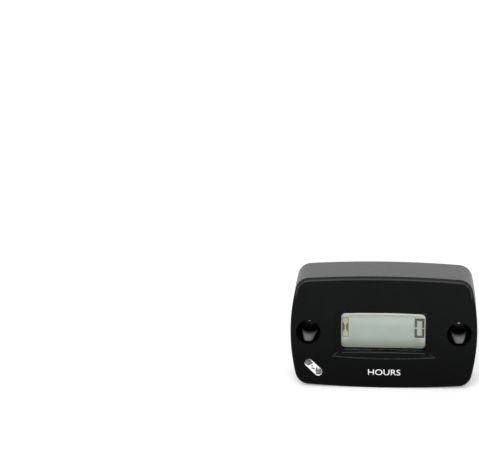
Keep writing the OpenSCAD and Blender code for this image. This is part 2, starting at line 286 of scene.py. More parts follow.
    @staticmethod
    def cut(piece: Piece, tool: Piece, way: Cut) -> None:
        """Joins a tool to a piece or cuts it out of it, and removes the tool.

        Args:
            piece: The piece that is shaped.
            tool: The solid that shapes it.
            way: Whether the tool is added, removed or limits the piece.
        """
        Bench.hold(piece)
        step = piece.modifiers.new(way.name.lower(), "BOOLEAN")
        step.operation = way.value
        step.solver = "EXACT"
        step.object = tool
        bpy.ops.object.modifier_apply(modifier=step.name)
        bpy.data.meshes.remove(tool.data)

    @staticmethod
    def join(name: str, pieces: list[Piece]) -> Piece:
        """Joins separate shapes into one piece.

        Args:
            name: The joined piece's name.
            pieces: The shapes.

        Returns:
            The joined piece.
        """
        Bench.hold(pieces[0])
        for piece in pieces[1:]:
            piece.select_set(True)
        bpy.ops.object.join()
        pieces[0].name = name
        pieces[0].data.name = name
        return pieces[0]

    @staticmethod
    def thicken(piece: Piece, thickness: float) -> None:
        """Gives flat film or ink its thickness towards the reader.

        Args:
            piece: The flat piece.
            thickness: Its thickness, in mm.
        """
        with Bench.editing(piece):
            Bench.every()
            bpy.ops.mesh.remove_doubles(threshold=MICRON)
            Bench.pull(-thickness)
        Bench.clean(piece)

    @staticmethod
    def clean(piece: Piece) -> None:
        """Merges doubled points and turns all faces outwards."""
        with Bench.editing(piece, Pick.VERT):
            Bench.every()
            bpy.ops.mesh.remove_doubles(threshold=0.5 * MICRON)
            bpy.ops.mesh.normals_make_consistent(inside=False)

    @staticmethod
    def smooth(piece: Piece, degrees: float = 32.0) -> None:
        """Shades the curved faces smooth and keeps flat faces flat.

        Args:
            piece: The finished mesh.
            degrees: Edges sharper than this stay sharp.
        """
        Bench.hold(piece)
        bpy.ops.object.shade_smooth_by_angle(angle=math.radians(degrees))
        step = piece.modifiers.new("flat_faces", "WEIGHTED_NORMAL")
        step.keep_sharp = True
        step.weight = 100
        bpy.ops.object.modifier_apply(modifier=step.name)


@dataclass(frozen=True)
class Nodes:
    """Short ways to add the shader nodes that the finishes use.

    Attributes:
        tree: The nodes of one material or of the world.
    """

    tree: bpy.types.NodeTree

    @staticmethod
    def start(name: str) -> tuple[bpy.types.Material, "Nodes", Sockets]:
        """Starts a material.

        Args:
            name: The material's name.

        Returns:
            The material, its nodes and the inputs of its main shader.
        """
        material = bpy.data.materials.new(name)
        material.use_nodes = True
        tree = material.node_tree
        return material, Nodes(tree), tree.nodes["Principled BSDF"].inputs

    def add(self, kind: str, **settings: str | int) -> bpy.types.Node:
        """Adds a node.

        Args:
            kind: Last part of its type's name.
            settings: Its properties.

        Returns:
            The node.
        """
        node = self.tree.nodes.new(f"ShaderNode{kind}")
        for name, value in settings.items():
            setattr(node, name, value)
        return node

    def feed(self, socket: Socket, value: Value) -> None:
        """Links an output to a socket, or sets the socket to a number or a colour.

        Args:
            socket: The socket.
            value: The output, number or colour.
        """
        if isinstance(value, Socket):
            self.tree.links.new(value, socket)
        elif isinstance(value, tuple):
            socket.default_value = (*value, 1.0)
        else:
            socket.default_value = value

    def place(self) -> Socket:
        """Gives the place on the piece."""
        return self.add("TexCoord").outputs["Object"]

    def facing(self) -> Socket:
        """Gives the direction that the surface faces."""
        return self.add("NewGeometry").outputs["Normal"]

    def parts(self, vector: Socket) -> Sockets:
        """Splits a vector into its X, Y and Z."""
        node = self.add("SeparateXYZ")
        self.feed(node.inputs["Vector"], vector)
        return node.outputs

    def math(self, operation: str, *values: Socket | float) -> Socket:
        """Adds one step of arithmetic.

        Args:
            operation: Which step it is.
            values: Outputs or numbers that go into it.

        Returns:
            The result.
        """
        node = self.add("Math", operation=operation)
        for socket, value in zip(node.inputs, values):
            self.feed(socket, value)
        return node.outputs[0]

    def product(self, *values: Socket) -> Socket:
        """Multiplies two or more values."""
        total = values[0]
        for value in values[1:]:
            total = self.math("MULTIPLY", total, value)
        return total

    def near(self, value: Socket, middle: float, half: float) -> Socket:
        """Gives one where a place is within a band, and zero elsewhere; middle and half width are in mm."""
        return self.math("COMPARE", value, middle * MM, half * MM)

    def box(self, place: Sockets, middle: Pair, half: Pair) -> Socket:
        """Gives one within a rectangle of the front view; its middle and half size along X and Z are in mm."""
        return self.product(self.near(place["X"], middle[0], half[0]), self.near(place["Z"], middle[1], half[1]))

    def noise(self, place: Socket, size: float, detail: float) -> Socket:
        """Adds noise of one size.

        Args:
            place: The place on the piece.
            size: Size of a patch, in mm.
            detail: Octaves of finer noise.

        Returns:
            The noise, from 0 to 1.
        """
        noise = self.add("TexNoise")
        self.feed(noise.inputs["Scale"], 1.0 / (size * MM))
        self.feed(noise.inputs["Detail"], detail)
        self.feed(noise.inputs["Vector"], place)
        return noise.outputs["Fac"]

    def spread(self, value: Socket, low: float, high: float, first: float = 0.0, last: float = 1.0) -> Socket:
        """Spreads a value from one range to another, softly at both ends.

        Args:
            value: The value.
            low: Where the first range starts.
            high: Where the first range ends.
            first: Result at low.
            last: Result at high.

        Returns:
            The spread value.
        """
        node = self.add("MapRange", interpolation_type="SMOOTHSTEP")
        for name, number in zip(("From Min", "From Max", "To Min", "To Max"), (low, high, first, last)):
            self.feed(node.inputs[name], number)
        self.feed(node.inputs["Value"], value)
        return node.outputs["Result"]

    def ramp(self, value: Socket, band: Pair, first: float = 0.0, last: float = 1.0) -> Socket:
        """Spreads a place over a band that is given in mm."""
        return self.spread(value, band[0] * MM, band[1] * MM, first, last)

    def blend(self, share: Socket, first: Value, second: Value) -> Socket:
        """Blends two colours.

        Args:
            share: Share of the second colour.
            first: The first colour.
            second: The second colour.

        Returns:
            The blended colour.
        """
        node = self.add("Mix", data_type="RGBA")
        for index, value in ((0, share), (6, first), (7, second)):
            self.feed(node.inputs[index], value)
        return node.outputs[2]


@dataclass(frozen=True)
class Finish:
    """A procedural finish: colour that drifts, roughness that swings and a fine relief.

    Attributes:
        name: The material's name.
        colour: Main colour, linear.
        drift: Colour that the main one drifts to.
        roughness: Mean roughness.
        swing: How far the roughness goes either way.
        metallic: Share of metal.
        specular: Level of the plain reflection.
        cloud: Size of the colour's patches, in mm.
        grain: Size of the relief's grain, in mm.
        relief: Height of the relief, in microns.
        run: Direction of the grain.
        clear: Share of light let through.
        ior: Refractive index.
    """

    name: str
    colour: Colour
    drift: Colour
    roughness: float
    swing: float = 0.06
    metallic: float = 0.0
    specular: float = 0.5
    cloud: float = 6.0
    grain: float = 0.2
    relief: float = 3.0
    run: Run = Run.EVEN
    clear: float = 0.0
    ior: float = 1.5

    def material(self) -> bpy.types.Material:
        """Builds the finish's nodes.

        Returns:
            The material.
        """
        material, nodes, shader = Nodes.start(self.name)
        nodes.feed(shader["Metallic"], self.metallic)
        nodes.feed(shader["Specular IOR Level"], self.specular)
        nodes.feed(shader["IOR"], self.ior)
        nodes.feed(shader["Transmission Weight"], self.clear)
        mapping = nodes.add("Mapping")
        mapping.inputs["Scale"].default_value = self.run.value
        nodes.feed(mapping.inputs["Vector"], nodes.place())
        cloud = nodes.noise(mapping.outputs["Vector"], self.cloud, detail=3.0)
        grain = nodes.noise(mapping.outputs["Vector"], self.grain, detail=2.0)
        tint = nodes.blend(nodes.spread(cloud, *PATCHES), self.colour, self.drift)
        nodes.feed(shader["Base Color"], self.tinted(nodes, tint))
        rough = nodes.spread(grain, *GRAINS, self.roughness - self.swing, self.roughness + self.swing)
        nodes.feed(shader["Roughness"], rough)
        bump = nodes.add("Bump")
        nodes.feed(bump.inputs["Distance"], self.relief * MICRON)
        nodes.feed(bump.inputs["Height"], self.raised(nodes, grain))
        nodes.feed(shader["Normal"], bump.outputs["Normal"])
        self.polished(nodes, shader)
        return material

    def tinted(self, nodes: Nodes, tint: Socket) -> Socket:
        """Leaves the colour as it is; a finish with a pattern changes it here."""
        return tint

    def raised(self, nodes: Nodes, height: Socket) -> Socket:
        """Leaves the relief as it is; a finish with a form of its own adds it here."""
        return height

    def polished(self, nodes: Nodes, shader: Sockets) -> None:
        """Leaves the plain reflection even; a finish that shines in places changes it here."""

    def dress(self, piece: Piece) -> None:
        """Makes this the only finish of a piece."""
        piece.data.materials.clear()
        piece.data.materials.append(self.material())


@dataclass(frozen=True)
class CasePlastic(Finish):
    """Moulded black plastic with painted shade that darkens it below, and painted highlights along the upper front
    edge, along the crease of the recess and, in worn-looking patches, on its lip.

    Attributes:
        painted_bottom_shade: Colour of the painted shade at the bottom.
        sinks: Heights between which the painted shade darkens the colour, in mm.
        painted_edge_highlight: Colour of the painted highlight along the upper front edge.
        begins: Facing along Y between which the painted highlight begins.
        dims: Facing along Y between which it dims.
        dimmed: Share of it that is left then.
        ends: Facing along Y between which it ends.
        rises: Heights between which it sets in, in mm.
        upward: Facing along Z between which a face counts as turned up.
        crease: Colour of the painted highlight along the crease where the slope of the recess starts.
        crease_at: Middle of the crease along X and Z, in mm.
        crease_half: Half length and half thickness of the crease, in mm.
        painted_lip_highlight: Colour of the painted highlight on the lip.
        blotch: Size of the patches of the painted highlight, in mm.
        patchy: Noise between which a patch takes the painted highlight.
        least: Least share of the painted highlight between the patches.
        reach: How far around a point an edge is looked for, in mm.
        turns: Turn of the surface between which an edge takes the painted highlight.
        lip: Heights between which the painted highlight sets in, in mm.
        lip_x: Half width of the part of the front that has the lip, in mm.
    """

    # Painted shade: the case darkens towards the bottom.
    painted_bottom_shade: Colour = (0.0008, 0.0009, 0.0009)
    sinks: Pair = (7.875, -14.175)
    # Painted highlight: a light line along the upper front edge that stands in for a lamp's reflection.
    painted_edge_highlight: Colour = (0.03, 0.03, 0.03)
    begins: Pair = (-0.985, -0.93)
    dims: Pair = (-0.9, -0.6)
    dimmed: float = 0.35
    ends: Pair = (-0.45, -0.15)
    rises: Pair = (8.6625, 11.8125)
    upward: Pair = (0.12, 0.35)
    # Painted highlight: a light line along the crease where the slope of the recess starts.
    crease: Colour = (0.026, 0.031, 0.027)
    crease_at: Pair = (0.0, -5.93)
    crease_half: Pair = (11.3, 0.1)
    # Painted highlight on the lip of the recess, broken into worn-looking patches.
    painted_lip_highlight: Colour = (0.095, 0.102, 0.097)
    blotch: float = 0.9
    patchy: Pair = (0.35, 0.6)
    least: float = 0.3
    reach: float = 0.5
    turns: Pair = (0.004, 0.05)
    lip: Pair = (-5.6, -6.0)
    lip_x: float = 15.0

    def tinted(self, nodes: Nodes, tint: Socket) -> Socket:
        """Darkens the colour downwards with painted shade and adds painted highlights along the upper front edge,
        along the crease and on the lip.

        Args:
            nodes: The material's nodes.
            tint: The plastic's colour.

        Returns:
            The colour of the case.
        """
        where = nodes.place()
        place, facing = nodes.parts(where), nodes.parts(nodes.facing())
        # Painted shade towards the bottom.
        tint = nodes.blend(nodes.ramp(place["Z"], self.sinks), tint, self.painted_bottom_shade)
        # Painted highlight on the upper front edge, where the faces turn from the front to the top.
        edge = nodes.product(
            nodes.spread(facing["Y"], *self.begins),
            nodes.spread(facing["Y"], *self.dims, 1.0, self.dimmed),
            nodes.spread(facing["Y"], *self.ends, 1.0, 0.0),
            nodes.ramp(place["Z"], self.rises),
        )
        tint = nodes.blend(edge, tint, self.painted_edge_highlight)
        upward = nodes.spread(facing["Z"], *self.upward)
        # Painted highlight along the crease, on faces turned up.
        line = nodes.product(upward, nodes.box(place, self.crease_at, self.crease_half))
        tint = nodes.blend(line, tint, self.crease)
        # Painted highlight in patches on the upturned edges of the lip.
        rim = nodes.product(
            upward,
            nodes.spread(nodes.noise(where, self.blotch, detail=1.0), *self.patchy, self.least, 1.0),
            nodes.spread(self.edges(nodes), *self.turns),
            nodes.ramp(place["Z"], self.lip),
            nodes.near(place["X"], 0.0, self.lip_x),
        )
        return nodes.blend(rim, tint, self.painted_lip_highlight)

    def edges(self, nodes: Nodes) -> Socket:
        """Finds the edges of a piece, where the surface turns within the reach.

        Args:
            nodes: The material's nodes.

        Returns:
            Zero on plain faces, larger at edges.
        """
        bevel = nodes.add("Bevel", samples=4)
        nodes.feed(bevel.inputs["Radius"], self.reach * MM)
        turn = nodes.add("VectorMath", operation="DOT_PRODUCT")
        nodes.feed(turn.inputs[0], bevel.outputs["Normal"])
        nodes.feed(turn.inputs[1], nodes.facing())
        return nodes.math("SUBTRACT", 1.0, turn.outputs["Value"])


@dataclass(frozen=True)
class DisplayFilm(Finish):
    """Front film of the display, with painted light that makes it paler along its upper edge, over its upper part
    and at its ends, and painted shade that makes it greyer at the bottom.

    Attributes:
        pale: Colour of the painted light at the edges and over the upper part.
        shade: Colour of the painted shade at the bottom.
        ends: Distances from the middle between which the painted light at the ends grows, in mm.
        end_share: Share of the painted light's colour at the ends.
        arch: How fast the upper edge falls to the sides, per metre.
        rise: Heights between which painted light makes the film paler upwards, in mm.
        rise_share: Share of the painted light's colour there.
        top: Heights between which the painted highlight along the upper edge starts, in mm.
        low: Heights between which the painted shade at the bottom starts, in mm.
        grounds: Creamy grounds behind the icon and in the figure: middle along X and Z, half width and half
            height in mm, and colour of each.
    """

    # Painted light: the colour of the paler ends, upper part and upper edge.
    pale: Colour = (0.74, 0.78, 0.66)
    # Painted shade: the colour at the bottom of the film.
    shade: Colour = (0.165, 0.18, 0.158)
    ends: Pair = (8.5, 11.5)
    end_share: float = 0.4
    arch: float = 2.2
    rise: Pair = (0.0, 4.61)
    rise_share: float = 0.27
    top: Pair = (3.86, 4.31)
    low: Pair = (-1.6, -5.2)
    grounds: tuple[tuple[Pair, Pair, Colour], ...] = (
        ((-10.49, 0.465), (0.87, 2.725), (0.375, 0.375, 0.262)),
        ((9.735, 0.44), (0.73, 2.1), (0.32, 0.338, 0.272)),
    )

    def tinted(self, nodes: Nodes, tint: Socket) -> Socket:
        """Adds the film's painted light at its edges and upper part, its painted shade at the bottom and the creamy
        grounds.

        Args:
            nodes: The material's nodes.
            tint: The film's colour.

        Returns:
            The colour with its edges.
        """
        place = nodes.parts(nodes.place())
        # Painted light at the ends of the film.
        ends = nodes.ramp(nodes.math("ABSOLUTE", place["X"]), self.ends, 0.0, self.end_share)
        tint = nodes.blend(ends, tint, self.pale)
        # Painted light that makes the upper part paler, following the arched upper edge.
        level = nodes.math("MULTIPLY_ADD", nodes.product(place["X"], place["X"]), self.arch, place["Z"])
        tint = nodes.blend(nodes.ramp(level, self.rise, 0.0, self.rise_share), tint, self.pale)
        for middle, half, colour in self.grounds:
            tint = nodes.blend(nodes.box(place, middle, half), tint, colour)
        # Painted highlight along the upper edge.
        tint = nodes.blend(nodes.ramp(level, self.top), tint, self.pale)
        # Painted shade at the bottom.
        return nodes.blend(nodes.ramp(place["Z"], self.low), tint, self.shade)


@dataclass(frozen=True)
class BorderInk(Finish):
    """Black border behind the window, with a painted highlight: a grey hairline along its lower part.

    Attributes:
        line: Colour of the painted highlight hairline.
        line_at: Middle of the hairline along X and Z, in mm.
        line_half: Half length and half thickness of the hairline, in mm.
    """

    # Painted highlight: a grey hairline that stands in for the lower edge of the window catching the light.
    line: Colour = (0.33, 0.31, 0.335)
    line_at: Pair = (0.0, -5.82)
    line_half: Pair = (10.9, 0.1)

    def tinted(self, nodes: Nodes, tint: Socket) -> Socket:
        """Adds the painted highlight hairline to the border's colour."""
        # Painted highlight hairline.
        line = nodes.box(nodes.parts(nodes.place()), self.line_at, self.line_half)
        return nodes.blend(line, tint, self.line)


@dataclass(frozen=True)
class WellPlastic(Finish):
    """Wall of a screw well: shiny along its axis, where the mould was polished, and black elsewhere.

    Attributes:
        hole_x: Distance of the well's axis from the middle of the case, in mm.
        mouth: Depth of the front face, in mm.
        width: Half width of the shine at the front face, in mm.
        grow: Growth of that half width per length inwards.
        start: Where the shine starts inwards of the front face, in mm.
        lead: Half length over which it starts, in mm.
        reach: How far in the shine goes, in mm.
        soft: Half width of the shine's other edges, in mm.
        haze: Roughness at the shine's inner end.
    """

    hole_x: float = 20.5
    mouth: float = 17.0
    width: float = 0.62
    grow: float = 0.125
    start: float = 3.0
    lead: float = 0.9
    reach: float = 12.1
    soft: float = 0.3
    haze: float = 0.55

    def polished(self, nodes: Nodes, shader: Sockets) -> None:
        """Limits the plain reflection to the shine.

        Args:
            nodes: The material's nodes.
            shader: The inputs of the main shader.
        """
        place = nodes.parts(nodes.place())
        side = nodes.math("ADD", nodes.math("ABSOLUTE", place["X"]), -self.hole_x * MM)
        taper = nodes.math("MULTIPLY_ADD", place["Y"], -self.grow, nodes.math("ABSOLUTE", side))
        edge = self.width + self.grow * self.mouth
        first, last = self.start - self.mouth, self.reach - self.mouth
        across = nodes.ramp(taper, (edge - self.soft, edge + self.soft), 1.0, 0.0)
        inwards = nodes.ramp(place["Y"], (first - self.lead, first + self.lead))
        along = nodes.ramp(place["Y"], (last - self.soft, last + self.soft), self.specular, 0.0)
        nodes.feed(shader["Specular IOR Level"], nodes.product(across, inwards, along))
        rough = nodes.ramp(place["Y"], ((last + first) / 2, last), self.roughness, self.haze)
        nodes.feed(shader["Roughness"], rough)


@dataclass(frozen=True)
class ResinSkin(Finish):
    """Skin of the cast resin: it waves a little and sinks towards the middle.

    Attributes:
        half_w: Half width of the skin, in mm.
        half_h: Half height of the skin, in mm.
        sink: How far its middle sinks, in times the height of its waves.
    """

    half_w: float = 23.5
    half_h: float = 13.9
    sink: float = 6.0

    def raised(self, nodes: Nodes, height: Socket) -> Socket:
        """Adds the sunken middle to the waves.

        Args:
            nodes: The material's nodes.
            height: The waves.

        Returns:
            The whole relief.
        """
        place = nodes.parts(nodes.place())
        for axis, half in (("X", self.half_w), ("Z", self.half_h)):
            square = nodes.product(place[axis], place[axis])
            height = nodes.math("MULTIPLY_ADD", square, self.sink / (half * MM) ** 2, height)
        return height


CASE_BLACK = CasePlastic(
    "case_black", (0.0026, 0.0032, 0.003), (0.0033, 0.0041, 0.0038), 0.3, 0.05,
    specular=0.052, cloud=9.0, grain=0.22, relief=3.5,
)
WELL_BLACK = WellPlastic(
    "well_black", (0.002, 0.002, 0.002), (0.003, 0.003, 0.003), 0.33, 0.04, cloud=3.0, grain=0.3
)
BORE_BLACK = Finish(
    "bore_black", (0.002, 0.002, 0.002), (0.003, 0.003, 0.003), 0.85, 0.08,
    specular=0.03, cloud=2.0, grain=0.15, relief=8.0,
)
RESIN_BLACK = ResinSkin(
    "resin_black", (0.006, 0.006, 0.0065), (0.01, 0.01, 0.011), 0.16, 0.08,
    specular=0.45, cloud=5.0, grain=3.5, relief=40.0,
)
LENS_CLEAR = Finish(
    "lens_clear", (0.98, 1.0, 0.985), (1.0, 1.0, 1.0), 0.03, 0.01,
    specular=0.2, cloud=12.0, grain=1.5, relief=0.2, clear=1.0, ior=1.2,
)
FILM_GREY = DisplayFilm(
    "display_film", (0.26, 0.294, 0.262), (0.28, 0.312, 0.28), 0.34, 0.03,
    specular=0.3, cloud=4.0, grain=0.5, relief=0.5,
)
SEGMENT_GREY = Finish(
    "segment_grey", (0.034, 0.036, 0.038), (0.05, 0.052, 0.055), 0.42, 0.04,
    specular=0.2, cloud=1.2, grain=0.3, relief=0.4,
)
ICON_GREY = replace(
    SEGMENT_GREY, name="icon_grey", colour=(0.066, 0.07, 0.046), drift=(0.088, 0.092, 0.064), cloud=1.0
)
BORDER_BLACK = BorderInk(
    "border_black", (0.004, 0.0045, 0.004), (0.006, 0.0065, 0.006), 0.5, 0.05,
    specular=0.1, cloud=2.0, relief=1.0,
)
PRINT_WHITE = Finish(
    "print_white", (0.83, 0.83, 0.82), (0.74, 0.74, 0.73), 0.5, 0.08,
    specular=0.3, cloud=0.9, grain=0.12, relief=2.0,
)
PRINT_GREY = replace(
    PRINT_WHITE, name="print_grey", colour=(0.12, 0.12, 0.12), drift=(0.24, 0.24, 0.24), cloud=0.7
)
PRINT_DARK = replace(
    PRINT_WHITE, name="print_dark", colour=(0.04, 0.041, 0.041), drift=(0.075, 0.075, 0.075), cloud=0.8
)
FRONT_GLASS = Finish(
    "front_glass", (0.86, 0.93, 0.9), (0.9, 0.95, 0.93), 0.05, 0.02,
    grain=1.0, relief=0.2, clear=0.9, ior=1.52,
)
TAB_NICKEL = Finish(
    "tab_nickel", (0.5, 0.48, 0.43), (0.43, 0.41, 0.37), 0.35, 0.1,
    metallic=1.0, cloud=1.5, grain=0.12, relief=1.5, run=Run.ALONG_Z,
)

NODE_FINISHES: dict[str, Finish] = {
    "potting_resin": RESIN_BLACK,
    "window_lens": LENS_CLEAR,
    "lcd_front_polariser": FILM_GREY,
    "lens_seal": Finish("seal_film", (0.015, 0.015, 0.016), (0.022, 0.022, 0.024), 0.6, cloud=2.0, grain=0.15),
    "lcd_front_glass": FRONT_GLASS,
    "lcd_rear_glass": replace(
        FRONT_GLASS, name="rear_glass", colour=(0.84, 0.92, 0.89), drift=(0.88, 0.94, 0.92)
    ),
    "lcd_reflector": Finish(
        "reflector_film", (0.6, 0.64, 0.58), (0.66, 0.69, 0.63), 0.45,
        metallic=0.7, cloud=3.0, grain=0.08, relief=1.5,
    ),
    "lcd_frame": Finish("frame_plastic", (0.022, 0.022, 0.024), (0.03, 0.03, 0.032), 0.5, cloud=5.0, relief=4.0),
    "connector_strips": Finish(
        "strip_rubber", (0.05, 0.05, 0.054), (0.32, 0.3, 0.28), 0.7,
        cloud=0.25, grain=0.1, relief=4.0, run=Run.ALONG_Z,
    ),
    "circuit_board": Finish(
        "board_laminate", (0.008, 0.075, 0.028), (0.012, 0.1, 0.04), 0.32, 0.08, cloud=3.0, grain=0.5, relief=5.0
    ),
    "board_screws": Finish(
        "screw_steel", (0.5, 0.5, 0.51), (0.42, 0.42, 0.43), 0.3, 0.1,
        metallic=1.0, cloud=1.0, grain=0.1, relief=1.5,
    ),
    "controller_chip": Finish(
        "chip_moulding", (0.016, 0.016, 0.018), (0.024, 0.024, 0.026), 0.55, cloud=1.5, grain=0.08
    ),
    "clock_crystal": Finish(
        "crystal_steel", (0.56, 0.56, 0.57), (0.48, 0.48, 0.5), 0.25, 0.1,
        metallic=1.0, cloud=1.5, grain=0.12, relief=1.0, run=Run.ALONG_Z,
    ),
    "chip_capacitors": Finish(
        "capacitor_ceramic", (0.33, 0.2, 0.09), (0.4, 0.27, 0.14), 0.5, cloud=0.6, grain=0.1, relief=2.0
    ),
    "chip_resistors": Finish(
        "resistor_ceramic", (0.013, 0.013, 0.015), (0.03, 0.03, 0.033), 0.4, cloud=0.6, grain=0.1, relief=2.0
    ),
    "input_diode": Finish(
        "diode_moulding", (0.018, 0.018, 0.02), (0.028, 0.028, 0.03), 0.5, cloud=1.0, grain=0.1
    ),
    "coin_cell": Finish(
        "cell_steel", (0.55, 0.55, 0.56), (0.46, 0.46, 0.48), 0.28, 0.12,
        metallic=1.0, cloud=4.0, grain=0.15, relief=1.5, run=Run.ALONG_X,
    ),
    "cell_tab_positive": TAB_NICKEL,
    "cell_tab_negative": replace(TAB_NICKEL, name="tab_nickel_flat", run=Run.ALONG_X),
    "lead_terminal": Finish(
        "terminal_brass", (0.6, 0.38, 0.12), (0.5, 0.3, 0.09), 0.28, 0.1,
        metallic=1.0, cloud=0.8, grain=0.1, relief=1.0,
    ),
    "lead_grommet": Finish(
        "grommet_rubber", (0.011, 0.011, 0.011), (0.017, 0.017, 0.017), 0.68, cloud=1.5, grain=0.12, relief=5.0
    ),
    "barrier_card": Finish(
        "card_fibre", (0.27, 0.18, 0.09), (0.35, 0.25, 0.14), 0.8,
        cloud=0.8, grain=0.12, relief=8.0, run=Run.ALONG_X,
    ),
}


def fit(piece: Piece, finish: Finish, slot: str) -> None:
    """Dresses a piece and lets it ride on the part.

    Args:
        piece: The finished mesh.
        finish: Its finish.
        slot: Its slot; not used.
    """
    finish.dress(piece)
    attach(piece, "root")


@dataclass
class CaseShell:
    """One black moulding: bowed walls, hooded window recess, screw tubes, board posts and lens rim.

    All sizes are in mm, in a front view with x to the right and z up; depths count from the mounting face.
    """

    width: float = 50.8
    height: float = 31.5
    depth: float = 16.98
    solid_depth: float = 17.0
    side_bow: float = 2.4
    top_bow: float = 1.07
    corner_r: float = 3.9
    front_r: float = 1.1
    back_r: float = 0.25
    wall: float = 1.8
    inner_depth: float = 14.4
    window_w: float = 23.2
    window_h: float = 10.8
    window_r: float = 0.8
    recess_depth: float = 15.4
    recess_side: float = 2.2
    recess_top: float = 0.55
    recess_low: float = 1.5
    recess_shelf: float = 0.4
    recess_flare: float = 2.5
    recess_bow_r: float = 175.0
    lip_x: float = 16.25
    lip_low: float = -9.5
    lip_edge: float = 0.18
    well_edge: float = 0.4
    hole_edge: float = 0.5
    sill_edge: float = 0.12
    hole_x: float = 20.5
    hole_r: float = 1.65
    well_r: float = 3.25
    well_floor: float = 3.3
    tube_r: float = 4.45
    post_x: float = 15.55
    post_z: float = 9.0
    post_r: float = 2.0
    post_foot: float = 9.0
    pilot_r: float = 0.8
    pilot_depth: float = 3.2
    lens_back: float = 13.0
    rim_w: float = 28.4
    rim_h: float = 16.0
    seat_w: float = 26.0
    seat_h: float = 13.6
    inlet_x: float = 9.5
    inlet_depth: float = 5.65
    inlet_r: float = 1.6
    past: float = 2.0
    bite: float = 0.5
    near: float = 0.1

    def outline(self) -> tuple[Vector, list[tuple[float, float, float, int]]]:
        """Works out the arcs of the bowed outline, anticlockwise from the lower right corner.

        Returns:
            The point where they start, and centre x, centre z, turn in radians and steps of each arc.
        """
        side_r = (self.height**2 / 4 + self.side_bow**2) / (2 * self.side_bow)
        top_r = (self.width**2 / 4 + self.top_bow**2) / (2 * self.top_bow)
        side = Vector((self.width / 2 - side_r, 0.0))
        top = Vector((0.0, self.height / 2 - top_r))
        line = side - top
        reach_top, reach_side = top_r - self.corner_r, side_r - self.corner_r
        along = (reach_top**2 - reach_side**2 + line.length_squared) / (2 * line.length)
        across = math.sqrt(reach_top**2 - along**2)
        line.normalize()
        corner = top + line * along + Vector((line.y, -line.x)) * across
        first = math.atan2(corner.y - side.y, corner.x - side.x)
        last = math.atan2(corner.y - top.y, corner.x - top.x)
        start = side + side_r * Vector((math.cos(-first), math.sin(-first)))
        bend = (last - first, 12)
        flank, crown = (2 * first, 28), (math.pi - 2 * last, 28)
        return start, [
            (side.x, side.y, *flank),
            (corner.x, corner.y, *bend),
            (top.x, top.y, *crown),
            (-corner.x, corner.y, *bend),
            (-side.x, side.y, *flank),
            (-corner.x, -corner.y, *bend),
            (top.x, -top.y, *crown),
            (corner.x, -corner.y, *bend),
        ]

    def body(self) -> Piece:
        """Spins the bowed outline, pulls it to its depth, rounds its edges and hollows it from the back.

        Returns:
            The open box.
        """
        start, arcs = self.outline()
        Bench.clear()
        bpy.ops.mesh.primitive_plane_add(size=MM, location=spot(start.x, start.y, self.depth))
        body = Bench.take("case_shell")
        with Bench.editing(body, Pick.VERT):
            Bench.every()
            bpy.ops.mesh.merge(type="CENTER")
            for x, z, turn, steps in arcs:
                centre = spot(x, z, self.depth)
                bpy.ops.mesh.spin(steps=steps, angle=turn, center=centre, axis=(0.0, 1.0, 0.0))
            Bench.every()
            bpy.ops.mesh.remove_doubles(threshold=MICRON)
            bpy.ops.mesh.edge_face_add()
            bpy.ops.mesh.select_mode(type="FACE")
            Bench.every()
            Bench.pull(self.depth)
            Bench.every()
            bpy.ops.mesh.normals_make_consistent(inside=False)
            bpy.ops.mesh.select_mode(type="EDGE")
            for depth, radius, steps in ((self.depth, self.front_r, 8), (0.0, self.back_r, 3)):
                Bench.pick(body, Pick.EDGE, lambda e, d=depth: self.lies_at(e, d))
                bpy.ops.mesh.bevel(offset=radius * MM, segments=steps, affect="EDGES")
            bpy.ops.mesh.select_mode(type="FACE")
            Bench.pick(body, Pick.FACE, lambda f: f.normal.y > FLAT and len(f.verts) > 8)
            bpy.ops.mesh.inset(thickness=(self.wall - self.back_r) * MM, use_even_offset=True)
            Bench.pull(-self.inner_depth)
        Bench.clean(body)
        return body

    @staticmethod
    def pin(body: Piece, way: Cut, radius: float, at: Pair, low: float, high: float, sides: int = FINE) -> None:
        """Adds a round pin to the box at a place of the front view, between two depths, or cuts such a bore."""
        Bench.cut(body, Bench.rod("pin", radius * MM, spot(*at, low), spot(*at, high), sides), way)

    @staticmethod
    def slab(width: float, height: float, low: float, high: float) -> Piece:
        """Makes a block at the middle of the front view, between two depths."""
        size = (width * MM, (high - low) * MM, height * MM)
        return Bench.block("slab", size, spot(0, 0, (low + high) / 2))

    def posts(self, side: int) -> list[Pair]:
        """Lists the axes of the board posts of one side."""
        return [(side * self.post_x, level * self.post_z) for level in SIDES]

    def add_inside(self, body: Piece) -> None:
        """Joins the screw tubes, the board posts and the rim around the lens to the walls.

        Args:
            body: The open box.
        """
        root = self.inner_depth + self.bite
        for side in SIDES:
            self.pin(body, Cut.ADD, self.tube_r, (side * self.hole_x, 0), 0, root)
            for at in self.posts(side):
                self.pin(body, Cut.ADD, self.post_r, at, self.post_foot, root, MEDIUM)
        Bench.cut(body, self.slab(self.rim_w, self.rim_h, self.lens_back, root), Cut.ADD)
        seat = self.slab(self.seat_w, self.seat_h, self.lens_back - self.past, self.inner_depth)
        Bench.cut(body, seat, Cut.REMOVE)

